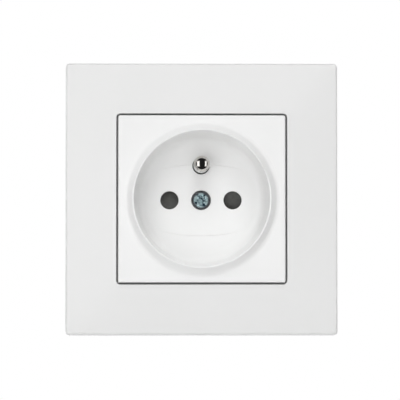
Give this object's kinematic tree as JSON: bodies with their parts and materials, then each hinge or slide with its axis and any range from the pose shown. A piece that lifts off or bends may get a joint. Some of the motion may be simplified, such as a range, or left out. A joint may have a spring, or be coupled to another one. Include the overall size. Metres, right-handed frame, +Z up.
{
  "type": "wall socket",
  "caption": "Flush wall socket with an earth pin: square frame, square centre plate, deep round recess, shuttered pin holes and a mechanism with claws behind.",
  "frame": {"origin": "centre of the socket on the wall surface, midway between the wall screw slots", "axes": "+Z up the wall, -Y out of the wall toward the user, +X to the user's right"},
  "size_m": [0.0812, 0.0417, 0.0812],
  "materials": {
    "white_plastic": "glossy white moulded plastic",
    "dark_plastic": "dark grey moulded plastic",
    "grey_plastic": "light grey heat-resistant plastic",
    "orange_plastic": "orange push levers",
    "nickel": "bright nickel plating",
    "zinc_steel": "bluish zinc plating",
    "spring_steel": "spring steel",
    "brass": "plain brass"
  },
  "bodies": {
    "socket": {"cover_frame": "white_plastic", "centre_plate": "white_plastic", "centre_screw": "zinc_steel", "shutter_spring": "spring_steel", "shutter_retainer": "grey_plastic", "support_ring": "zinc_steel", "ring_rivets": "zinc_steel", "mechanism_base": "grey_plastic", "contact_cover": "grey_plastic", "cover_screws": "zinc_steel", "centre_nut": "brass", "earth_pin": "nickel", "earth_strap": "brass", "contact_right": "brass", "contact_left": "brass", "sleeve_clip_right": "spring_steel", "sleeve_clip_left": "spring_steel", "clamp_spring_right": "spring_steel", "clamp_spring_left": "spring_steel", "clamp_spring_earth": "spring_steel"},
    "shutter": {"shutter": "dark_plastic"},
    "release_lever_right": {"release_lever_right": "orange_plastic"},
    "release_lever_left": {"release_lever_left": "orange_plastic"},
    "release_lever_earth": {"release_lever_earth": "orange_plastic"},
    "claw_screw_right": {"claw_screw_right": "zinc_steel"},
    "claw_nut_right": {"claw_nut_right": "zinc_steel"},
    "claw_right": {"claw_right": "zinc_steel"},
    "claw_screw_left": {"claw_screw_left": "zinc_steel"},
    "claw_nut_left": {"claw_nut_left": "zinc_steel"},
    "claw_left": {"claw_left": "zinc_steel"}
  },
  "joints": [
    {"name": "shutter_turn", "type": "hinge", "parent": "socket", "child": "shutter", "pos_m": [0, 0.007, 0], "axis": [0, -1, 0], "range_deg": [0, 38], "stiffness_Nm_per_rad": 0.001, "springref_deg": -20.05, "deforming": ["shutter_spring"]},
    {"name": "release_lever_right_push", "type": "slide", "parent": "socket", "child": "release_lever_right", "axis": [0, -1, 0], "range_m": [0, 0.0018], "stiffness_N_per_m": 1500, "springref_m": -0.001, "deforming": ["clamp_spring_right"]},
    {"name": "release_lever_left_push", "type": "slide", "parent": "socket", "child": "release_lever_left", "axis": [0, -1, 0], "range_m": [0, 0.0018], "stiffness_N_per_m": 1500, "springref_m": -0.001, "deforming": ["clamp_spring_left"]},
    {"name": "release_lever_earth_push", "type": "slide", "parent": "socket", "child": "release_lever_earth", "axis": [0, -1, 0], "range_m": [0, 0.0018], "stiffness_N_per_m": 1500, "springref_m": -0.001, "deforming": ["clamp_spring_earth"]},
    {"name": "claw_screw_right_turn", "type": "hinge", "parent": "socket", "child": "claw_screw_right", "pos_m": [0.0249, 0, 0.008], "axis": [0, 1, 0], "range_deg": [0, 3240]},
    {"name": "claw_nut_right_travel", "type": "slide", "parent": "socket", "child": "claw_nut_right", "axis": [0, -1, 0], "range_m": [0, 0.0054]},
    {"name": "claw_right_travel", "type": "slide", "parent": "socket", "child": "claw_right", "axis": [0.3746, -0.9272, 0], "range_m": [0, 0.00583]},
    {"name": "claw_screw_left_turn", "type": "hinge", "parent": "socket", "child": "claw_screw_left", "pos_m": [-0.0249, 0, 0.008], "axis": [0, 1, 0], "range_deg": [0, 3240]},
    {"name": "claw_nut_left_travel", "type": "slide", "parent": "socket", "child": "claw_nut_left", "axis": [0, -1, 0], "range_m": [0, 0.0054]},
    {"name": "claw_left_travel", "type": "slide", "parent": "socket", "child": "claw_left", "axis": [-0.3746, -0.9272, 0], "range_m": [0, 0.00583]}
  ],
  "couplings": [
    {"joint": "claw_screw_right_turn", "follows": "claw_nut_right_travel", "rad_per_m": 10472},
    {"joint": "claw_right_travel", "follows": "claw_nut_right_travel", "ratio": 1.0785},
    {"joint": "claw_screw_left_turn", "follows": "claw_nut_left_travel", "rad_per_m": 10472},
    {"joint": "claw_left_travel", "follows": "claw_nut_left_travel", "ratio": 1.0785}
  ]
}
